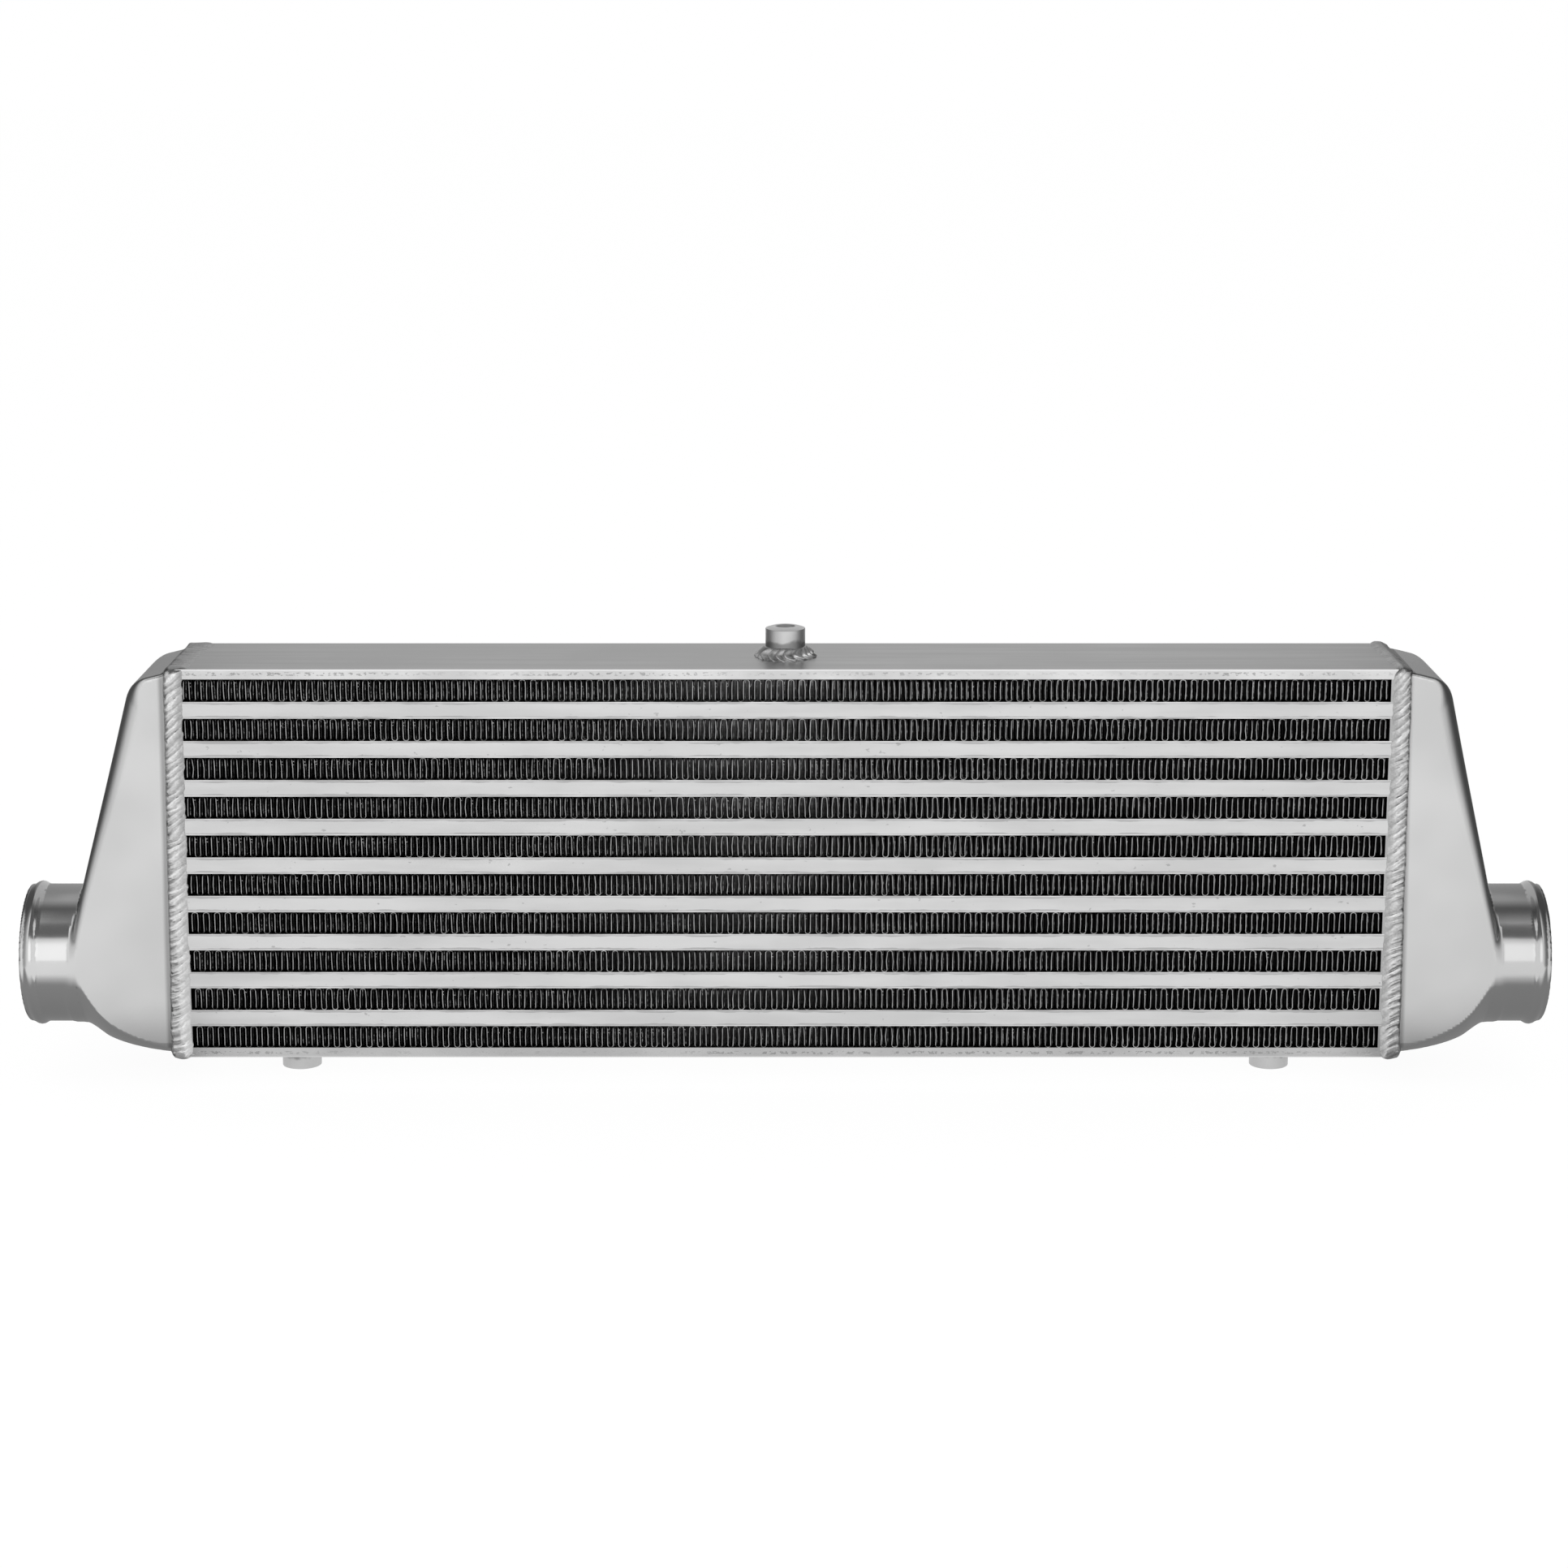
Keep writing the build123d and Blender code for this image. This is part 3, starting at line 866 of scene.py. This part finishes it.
def build_tanks(material):
    """Both castings: one mesh, mirrored, and then leaned to the right."""
    margin = TANK_MARGIN * TANK_CELL
    pipe = PIPE_RADIUS + BEAD_RISE
    low = np.array([-margin, -pipe - margin, MOUTH_FLOOR - margin])
    high = np.array([pipe_reach + margin, pipe + margin, MOUTH_TOP + margin])
    points, quads, normals = surface_net(low, high, TANK_CELL)
    lean = SKEW * smoothstep(points[:, 0] / SKEW_RUN)
    for name, side in SIDES.items():
        mirror = np.array([side, 1, 1])
        placed = points * mirror + [side * core_end, 0, spigot_z]
        placed[:, 0] += lean * np.maximum(placed[:, 2] - SKEW_START, 0)
        faces = quads if side > 0 else quads[:, ::-1]
        replaced = [f"{name}_end_tank"]
        piece_name = f"{name}_tank_casting"
        add_piece(piece_name, placed, faces, material, "end_tank", replaced, normals * mirror)


# Welds

def rounded_loop(half_y, half_z, radius, step):
    """Y and Z rectangle with round corners: points, outward directions, places along it, length."""
    points, outward = [], []
    signs = [(1, 1), (-1, 1), (-1, -1), (1, -1)]
    centres = [np.array([sy * (half_y - radius), sz * (half_z - radius)]) for sy, sz in signs]
    for index, centre in enumerate(centres):
        angles = np.linspace(0, pi / 2, max(3, round(radius * pi / 2 / step)) + 1)
        angles = angles + index * pi / 2
        arc = np.stack([np.cos(angles), np.sin(angles)], 1)
        points.extend(centre + radius * arc)
        outward.extend(arc)
        target = centres[(index + 1) % 4] + radius * arc[-1]
        last = points[-1]
        count = int(np.linalg.norm(target - last) / step)
        for i in range(1, count):
            points.append(last + (target - last) * i / count)
            outward.append(arc[-1])
    points, outward = np.array(points), np.array(outward)
    length = np.linalg.norm(np.roll(points, -1, 0) - points, axis=1)
    along = np.concatenate([[0], np.cumsum(length)[:-1]])
    return points, outward, along, length.sum()


def ripple_wave(phase):
    """Overlapping scales: a steep front and a long back, from 0 to 1."""
    part = phase - np.floor(phase)
    back = np.maximum(part - RIPPLE_FRONT, 0) / (1 - RIPPLE_FRONT)
    return np.where(part < RIPPLE_FRONT, smoothstep(part / RIPPLE_FRONT), 1 - back ** RIPPLE_FALL)


def uneven_phase(along, total, rng):
    """Count of ripples up to each place, with spacings that differ from ripple to ripple."""
    count = round(total / WELD_PITCH)
    gaps = rng.uniform(*RIPPLE_GAPS, count)
    starts = np.concatenate([[0], np.cumsum(gaps)]) * total / gaps.sum()
    return np.interp(along, starts, np.arange(count + 1)), count


def around_mouth(on_side, on_top, rise, depth, above):
    """Width that goes from (low, high) on the sides to (front, rear) on the top stretch."""
    value = on_side[0] + (on_side[1] - on_side[0]) * rise
    return value + (on_top[0] + (on_top[1] - on_top[0]) * depth - value) * above


def tank_weld(side, rng):
    """Rippled bead around one tank's mouth: points, quads and marks for its material."""
    loop, outward, along, total = rounded_loop(
        core_half_depth, core_half_height, WELD_CORNER, WELD_STEP
    )

    def wave(spacing):
        return smooth_noise(along, spacing, rng)[:, None]

    # t runs from 0 on the core to 1 on the tank, and u from -1 to 1
    t = np.linspace(0, 1, WELD_POINTS)[None, :]
    u = 2 * t - 1
    loop_y, loop_z = loop[:, 0:1], loop[:, 1:2]
    out_y, out_z = outward[:, 0:1], outward[:, 1:2]
    upright = smoothstep((abs(out_y) - 0.5) / 0.4)
    above = smoothstep(out_z)
    level = np.clip(loop_z / core_half_height, -1, 1)
    rise = (1 + level) / 2
    depth = np.clip(0.5 + loop_y / core_half_depth / 2, 0, 1)
    lap = around_mouth(SIDE_LAP[side], TOP_LAP[side], rise, depth, above)
    toe = around_mouth(SIDE_TOE[side], TOP_TOE[side], rise, depth, above)
    lap = lap + 0.3 * wave(6.0) + 0.35 * wave(1.9)
    toe = toe + 0.2 * wave(7.0) + 0.12 * wave(1.8)
    offset = -lap + (lap + toe) * t

    # Ripples, steeper on the sides, with finer ones between them
    slant = upright * (WELD_SLANT + WELD_SLANT_RISE * level + WELD_SLANT_DRIFT * wave(23.0))
    curl = upright * WELD_CURL[side] * (1 - rise) + (1 - upright) * WELD_CURL_LEVEL
    count_at, count = uneven_phase(along, total, rng)
    phase = count_at[:, None] + (side * slant * u + curl * u * u) / WELD_PITCH
    sizes = rng.uniform(*WELD_RIPPLE_SIZES, count + 8)
    strength = sizes[np.floor(phase).astype(int) % count]
    reach = 0.35 + 0.65 * smoothstep((t - 0.12) / 0.3)
    reach = reach * smoothstep((1 - t) / 0.1) * smoothstep(t / 0.08)
    fine_phase = phase * WELD_FINE_COUNT + 0.5 * wave(3.0)
    fine_sizes = rng.uniform(*WELD_FINE_SIZES, 3 * count + 24)
    fine_strength = fine_sizes[np.floor(fine_phase).astype(int) % (3 * count)]
    scales = ripple_wave(phase) * strength + WELD_FINE * ripple_wave(fine_phase) * fine_strength
    lift = scales * reach * (WELD_RIPPLE_LEVEL + (1 - WELD_RIPPLE_LEVEL) * upright)

    # Body of the bead: humped on the sides, flatter above and below, lumpy all over
    fall = smoothstep((1 - t) / 0.16)
    ridge = 0.45 * np.clip(1 - ((t - 0.6) / 0.4) ** 2, 0, 1)
    hump = (0.55 * smoothstep(t / 0.25) + ridge) * fall
    plain = smoothstep(t / 0.3) * fall
    crown = WELD_CROWN * hump * (1 - above) + WELD_CROWN_TOP[side] * plain * above
    crown = crown * (1 + 0.12 * wave(8.0))
    swirl = 3 * wave(4.0)
    lumps = 0.13 * wave(1.5) * np.sin(5 * t + swirl)
    lumps = lumps + 0.08 * wave(0.8) * np.sin(9 * t - swirl)
    from_corner = (abs(loop_y) - core_half_depth) ** 2 + (abs(loop_z) - core_half_height) ** 2
    corner = WELD_CORNER_LUMP * np.exp(-from_corner / WELD_CORNER_SPREAD)
    corner = corner * fall * smoothstep(t / 0.2)
    height = crown + WELD_RIPPLE * lift + lumps * fall * smoothstep(t / 0.1) + corner

    # Its foot follows the core on one side and the tank's inset and falling top on the other
    top_drop = np.clip(out_z, 0, 1) * np.maximum(offset, 0) * tan(TOP_FALL)
    drop = MOUTH_INSET * smoothstep(offset / toe) + top_drop
    sink = 0.2 * smoothstep((0.06 - t) / 0.06) + 0.7 * smoothstep((t - 0.93) / 0.07)
    height = np.minimum(height, WELD_HIGHEST) - drop - sink

    top = np.stack([
        side * (core_end + offset),
        loop_y + out_y * height,
        core_middle + loop_z + out_z * height,
    ], 2)
    inward = WELD_BURIED * np.stack([np.zeros(len(loop)), outward[:, 0], outward[:, 1]], 1)
    buried = np.stack([top[:, -1] - inward, top[:, 0] - inward], 1)
    points = np.concatenate([top, buried], 1)
    quads = grid_quads(len(loop), WELD_POINTS + 2, close_rows=True, close_columns=True)
    if side > 0:
        quads = quads[:, ::-1]
    blank = np.zeros((len(loop), 2))
    across = np.concatenate([t + 0 * lift, blank + [1, 0]], 1)
    marks = {"across": across.ravel(), "lift": np.concatenate([lift, blank], 1).ravel()}
    return points.reshape(-1, 3), quads, marks


def build_tank_welds(material):
    for index, (name, side) in enumerate(SIDES.items()):
        points, quads, marks = tank_weld(side, np.random.default_rng(SEED + 40 + index))
        replaced = [f"{name}_tank_weld"]
        add_piece(f"{name}_weld_bead", points, quads, material, "weld", replaced, marks=marks)


# Bungs and their welds, drawn standing on Z = 0 and then placed

def revolve(profile, turns):
    """Grid of a profile of (radius, height) around Z."""
    angle = np.linspace(0, 2 * pi, turns, endpoint=False)[:, None]
    radius, height = profile[None, :, 0], profile[None, :, 1]
    x, y = radius * np.cos(angle), radius * np.sin(angle)
    z = height * np.ones_like(angle)
    return np.stack([x, y, z], 2)


def bung_mesh():
    """Turned boss with a soft rim and a tapped blind hole with a real helix."""
    shoulder = BUNG_LENGTH - BUNG_DOME
    rim_start = BUNG_RADIUS - BUNG_EDGE
    bend = np.linspace(0, radians(70), 5)
    rim = [(rim_start + BUNG_EDGE * cos(a), shoulder + BUNG_EDGE * (sin(a) - 1)) for a in bend]
    mouth = THREAD_MAJOR + MOUTH_CLEARANCE
    crown = np.linspace(rim_start - 0.2, mouth + MOUTH_LAND, 7)
    dome = [(r, shoulder + BUNG_DOME * sin(pi / 2 * i / 6)) for i, r in enumerate(crown)]
    outside = [(BUNG_RADIUS - 0.5, 0.0), (BUNG_RADIUS, 0.0), (BUNG_RADIUS, 4.0), *rim, *dome]
    outside += [(mouth + 0.25, BUNG_LENGTH - 0.02), (mouth, BUNG_LENGTH - 0.25)]
    thread_top = BUNG_LENGTH - THREAD_LEAD_IN
    thread_low = BUNG_LENGTH - THREAD_DEPTH
    steps = round((thread_top - thread_low) / THREAD_PITCH * THREAD_STEPS)
    heights = np.linspace(thread_top, thread_low, steps)
    hole = [(THREAD_MINOR, height) for height in heights]
    bottom = [(THREAD_MINOR - 0.1, thread_low - 0.1), (0.2, thread_low - 1.2)]
    profile = np.array(outside + hole + bottom)
    grid = revolve(profile, BUNG_TURNS)
    angle = np.linspace(0, 2 * pi, BUNG_TURNS, endpoint=False)[:, None]
    turn = heights[None, :] / THREAD_PITCH - angle / (2 * pi)
    wave = 1 - abs(2 * (turn - np.floor(turn)) - 1)
    groove = np.clip(wave * 1.3 - 0.1, 0, 1)
    radius = THREAD_MINOR + (THREAD_MAJOR - THREAD_MINOR) * groove
    at = slice(len(outside), len(outside) + steps)
    grid[:, at, 0] = radius * np.cos(angle)
    grid[:, at, 1] = radius * np.sin(angle)
    return grid.reshape(-1, 3), grid_quads(BUNG_TURNS, len(profile), close_rows=True)


def bung_weld_mesh(rng):
    """Fillet weld around a bung's foot, laid in leaf-like ripples: points, quads and marks."""
    angle = np.linspace(0, 2 * pi, BUNG_WELD_TURNS, endpoint=False)[:, None]
    t = np.linspace(0, 1, BUNG_WELD_RINGS)[None, :]
    uneven = 0.5 * np.sin(angle * 3 + 1.0) + 0.4 * np.sin(angle * 5 + rng.uniform(0, 6))
    sweep = 0.8 * np.sin(pi * t) - 0.3 * t
    phase = BUNG_WELD_PETALS * angle / (2 * pi) + 0.3 * uneven + sweep
    petal = np.floor(phase).astype(int) % BUNG_WELD_PETALS
    wave = ripple_wave(phase) * rng.uniform(*BUNG_WELD_SIZES, BUNG_WELD_PETALS)[petal]
    swell = wave * np.sin(pi * t) ** 0.7
    foot = BUNG_WELD_RADIUS + 0.5 * uneven + 1.1 * (wave - 0.5)
    radius = BUNG_RADIUS + (foot - BUNG_RADIUS) * t ** 0.9 + BUNG_WELD_SWELL[0] * swell
    height = BUNG_WELD_HEIGHT * (1 + 0.08 * uneven) * (1 - t) ** 1.45
    height = height + BUNG_WELD_SWELL[1] * swell
    height = np.maximum(height, 0) - 0.3 * smoothstep((t - 0.92) / 0.08)
    grid = np.stack([radius * np.cos(angle), radius * np.sin(angle), height], 2)
    inner = (BUNG_RADIUS - 0.4) * np.stack([np.cos(angle), np.sin(angle), 0 * angle], 2)
    low, lip = inner - [0, 0, 0.3], inner + [0, 0, BUNG_WELD_HEIGHT - 0.2]
    points = np.concatenate([grid, low, lip], 1).reshape(-1, 3)
    quads = grid_quads(BUNG_WELD_TURNS, BUNG_WELD_RINGS + 2, close_rows=True, close_columns=True)
    blank = np.zeros((BUNG_WELD_TURNS, 2))
    marks = {
        "across": np.concatenate([0.9 * t + 0 * wave, blank], 1).ravel(),
        "lift": np.concatenate([swell, blank], 1).ravel(),
    }
    return points, quads, marks


def stand(points, quads, up, base):
    """Points and quads moved to a base, upright (1) or upside down (-1)."""
    return points * [1, up, up] + base, quads if up > 0 else quads[:, ::-1]


def build_bungs(boss, weld):
    """The bung on top and the two below, each with its weld."""
    bosses, welds, marks = [], [], []
    for index, name in enumerate(("top_bung", "bottom_bung_left", "bottom_bung_right")):
        up = 1 if mounts[name]["axis"][2] > 0 else -1
        base = (mounts[name]["pos_m"][0] / MM, 0, core_top if up > 0 else core_bottom)
        bosses.append(stand(*bung_mesh(), up, base))
        points, quads, mark = bung_weld_mesh(np.random.default_rng(SEED + 60 + index))
        welds.append(stand(points, quads, up, base))
        marks.append(mark)
    add_piece("threaded_bungs", *join_parts(bosses), boss, "bung", ["mounting_bungs"])
    marks = {label: np.concatenate([mark[label] for mark in marks]) for label in marks[0]}
    add_piece("bung_weld_skirts", *join_parts(welds), weld, "weld", ["bung_welds"], marks=marks)


# Stage: camera, lamp, floor, world, and cards that only reflections see

def build_camera():
    data = bpy.data.cameras.new("camera")
    data.sensor_width = 36.0
    data.lens = CAMERA_LENS
    data.shift_x = CAMERA_SHIFT
    camera = bpy.data.objects.new("camera", data)
    camera.location = CAMERA_PLACE
    camera.rotation_euler = (radians(90 - CAMERA_FALL), 0, 0)
    bpy.context.scene.collection.objects.link(camera)
    bpy.context.scene.camera = camera


def build_lamp():
    data = bpy.data.lights.new("front_softbox", "AREA")
    data.shape = "RECTANGLE"
    data.size, data.size_y = LAMP_WIDTH, LAMP_HEIGHT
    data.energy = LAMP_POWER
    lamp = bpy.data.objects.new("front_softbox", data)
    lamp.location = LAMP_PLACE
    direction = Vector(LAMP_TARGET) - Vector(LAMP_PLACE)
    lamp.rotation_euler = direction.to_track_quat("-Z", "Y").to_euler()
    lamp.visible_glossy = False
    bpy.context.scene.collection.objects.link(lamp)


def rectangle(low, high):
    """Corners of a level or upright rectangle between two opposite corners."""
    (x0, y0, z0), (x1, y1, z1) = low, high
    if z0 == z1:
        return [(x0, y0, z0), (x1, y0, z0), (x1, y1, z0), (x0, y1, z0)]
    return [(x0, y0, z0), (x1, y1, z0), (x1, y1, z1), (x0, y0, z1)]


def add_stage_plane(name, corners, material):
    mesh = bpy.data.meshes.new(name)
    mesh.from_pydata(rectangle(*corners), [], [(0, 1, 2, 3)])
    mesh.materials.append(material)
    plane = bpy.data.objects.new(name, mesh)
    bpy.context.scene.collection.objects.link(plane)
    return plane


def seen_directly(nodes):
    """1 for camera, glossy and transmission rays, and 0 for the rays that light the object."""
    path = nodes.add("LightPath").outputs
    seen = nodes.calc("MAXIMUM", path["Is Camera Ray"], path["Is Glossy Ray"])
    return nodes.calc("MAXIMUM", seen, path["Is Transmission Ray"])


def floor_material():
    """Pale floor that stays white to the eye and keeps a soft shadow."""
    material = bpy.data.materials.new("pale_floor")
    nodes = Nodes(material, empty=True)
    matt = nodes.add("BsdfDiffuse", {"Color": grey(FLOOR_LEVEL)}).outputs[0]
    glow = nodes.add("Emission", {"Color": grey(1.0), "Strength": FLOOR_GLOW}).outputs[0]
    share = nodes.times(seen_directly(nodes), FLOOR_GLOW_SHARE)
    mixed = nodes.add("MixShader", {0: share, 1: matt, 2: glow}).outputs[0]
    nodes.add("OutputMaterial", {"Surface": mixed})
    return material


def build_world():
    """World that is white to the eye and in reflections, and lights the object less."""
    world = bpy.data.worlds.new("studio")
    bpy.context.scene.world = world
    nodes = Nodes(world, empty=True)
    inputs = {"Value": seen_directly(nodes), "To Min": WORLD_LIGHT, "To Max": 1.0}
    strength = nodes.add("MapRange", inputs).outputs[0]
    sky = nodes.add("Background", {"Color": grey(1.0), "Strength": strength}).outputs[0]
    nodes.add("OutputWorld", {"Surface": sky})


def graded_card(name, corners, shades, strength=1.0):
    """Card that only reflections see, shaded along each given axis by (place, level) stops."""
    material = bpy.data.materials.new(name)
    nodes = Nodes(material, empty=True)
    spot = nodes.split(nodes.add("TexCoord").outputs["Object"])
    light = grey(1.0)
    for axis, stops in shades.items():
        first, last = stops[0][0], stops[-1][0]
        inputs = {"Value": spot[axis], "From Min": first, "From Max": last}
        shade = nodes.add("ValToRGB", {0: nodes.add("MapRange", inputs).outputs[0]})
        elements = shade.color_ramp.elements
        while len(elements) < len(stops):
            elements.new(0.5)
        for element, (place, level) in zip(elements, stops):
            element.position = (place - first) / (last - first)
            element.color = grey(level)
        light = nodes.mix(1.0, light, shade.outputs[0], "MULTIPLY")
    glow = nodes.add("Emission", {"Color": light, "Strength": strength}).outputs[0]
    nodes.add("OutputMaterial", {"Surface": glow})
    card = add_stage_plane(name, corners, material)
    card.visible_camera = False
    card.visible_diffuse = False
    card.visible_shadow = False
    card.visible_transmission = False


def build_cards():
    """Cards that the polished metal mirrors, in metres: a bright box in front, a room around
    the object that is dark overhead, and grey strips on the floor below the tanks, a painted
    shadow of the object that only reflections see."""
    box_half, box_y, box_top = 1.35, -2.3, 1.95
    across = [(-box_half, 0.5), (-0.95, 0.95), (0.0, 1.0), (0.95, 0.95), (box_half, 0.5)]
    upward = [(0.0, 0.35), (0.06, 1.0), (1.2, 1.0), (box_top, 0.5)]
    corners = ((-box_half, box_y, 0), (box_half, box_y, box_top))
    graded_card("front_box", corners, {0: across, 2: upward}, 1.4)

    wide, front, back, top = 2.5, -1.5, 2.2, 1.25
    overhead = [(front, 0.15), (0.05, 0.13), (0.45, 0.5), (back, 0.58)]
    graded_card("canopy", ((-wide, front, top), (wide, back, top)), {1: overhead})
    rear = [(0.0, 0.65), (top, 0.56)]
    graded_card("rear_wall", ((-wide, back, 0), (wide, back, top)), {2: rear})

    beside = [(-0.55, 1.0), (-0.22, 0.78), (-0.1, 0.42), (0.0, 0.14)]
    beside += [(0.1, 0.08), (0.4, 0.09), (0.8, 0.28), (back, 0.45)]
    # Painted shadow: grey strips under the tanks, seen only in reflections, for the shade beneath
    # the object
    below = [(-0.15, 1.0), (-0.085, 0.31), (0.085, 0.31), (0.15, 1.0)]
    wall_x, shadow_strip_near, shadow_strip_far, shadow_strip_z = 0.62, 0.272, 0.6, 0.001
    lead = {"left": 0.0, "right": 0.07}
    for name, side in SIDES.items():
        stops = [(place - lead[name], level) for place, level in beside]
        corners = ((side * wall_x, stops[0][0], 0), (side * wall_x, stops[-1][0], top))
        graded_card(f"{name}_side", corners, {1: stops})
        near = (side * shadow_strip_near, below[0][0], shadow_strip_z)
        far = (side * shadow_strip_far, below[-1][0], shadow_strip_z)
        graded_card(f"{name}_strip", (near, far), {1: below})


def build_stage():
    build_camera()
    build_world()
    corners = ((-FLOOR_REACH, -FLOOR_REACH, 0), (FLOOR_REACH, FLOOR_REACH, 0))
    add_stage_plane("floor", corners, floor_material())
    build_lamp()
    build_cards()


def dress_core():
    """Give every CAD part that stays in view its metal."""
    metals = {
        ("front_bar", "rear_bar", "end_bars"): bar_material(),
        ("parting_sheets",): sheet_material(),
        ("top_plate", "bottom_plate"): plate_material(),
        ("charge_fin",): inner_foil_material(),
    }
    for name, node in frame["nodes"].items():
        for starts, metal in metals.items():
            if name.startswith(starts):
                for slot in node.material_slots:
                    slot.material = metal


bpy.context.scene.view_settings.view_transform = "Standard"
build_stage()
dress_core()
fin_foil = foil_material()
for row in range(1, FIN_ROWS + 1):
    build_fin_row(row, fin_foil)
build_tanks(cast_material())
build_tank_welds(weld_material("weld_metal", 0.33, 0.66))
build_bungs(bung_material(), weld_material("bung_weld_metal", 0.38, 0.95))
